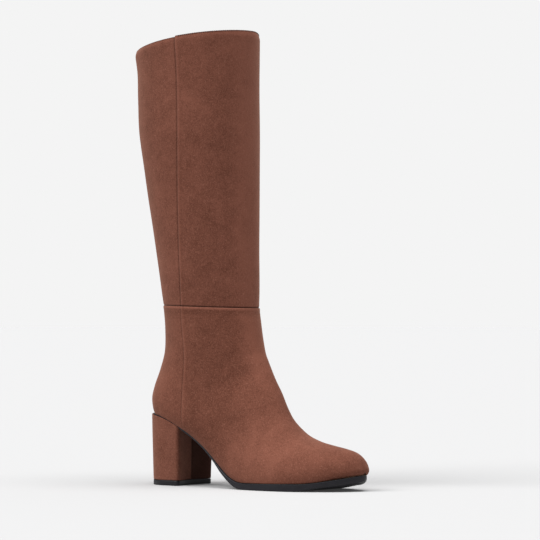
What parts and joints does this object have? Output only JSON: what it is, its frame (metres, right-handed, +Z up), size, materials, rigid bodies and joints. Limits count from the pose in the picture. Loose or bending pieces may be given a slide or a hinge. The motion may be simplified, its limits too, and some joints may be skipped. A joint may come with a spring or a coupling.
{
  "type": "knee-high boot",
  "caption": "Knee-high suede boot with a covered block heel, almond toe, thin rubber sole and a full-length zip on the inner side of the leg.",
  "frame": {"origin": "on the floor under the middle of the boot's bounding box", "axes": "+Z up, toe towards +X, outer side towards -Y, inner side with the zip towards +Y"},
  "size_m": [0.2564, 0.1034, 0.4295],
  "materials": {
    "sole_rubber": "satin black rubber",
    "heel_suede": "brown suede cover",
    "lift_rubber": "matt black rubber",
    "upper_suede": "brown suede",
    "shaft_suede": "brown suede",
    "insole_leather": "smooth tan leather",
    "zip_textile": "woven tape with nylon teeth",
    "zip_metal": "dark nickel",
    "pull_metal": "dark nickel"
  },
  "bodies": {
    "boot": {"outsole": "sole_rubber", "heel_block": "heel_suede", "heel_top_piece": "lift_rubber", "upper": "upper_suede", "shaft": "shaft_suede", "insole": "insole_leather", "zip_tape": "zip_textile", "zip_slider": "zip_metal"},
    "pull_tab": {"zip_pull": "pull_metal"}
  },
  "joints": [
    {"name": "zip_pull_hinge", "type": "hinge", "parent": "boot", "child": "pull_tab", "pos_m": [-0.06049, 0.0497, 0.404], "axis": [1, 0, 0], "range_deg": [0, 160]}
  ]
}
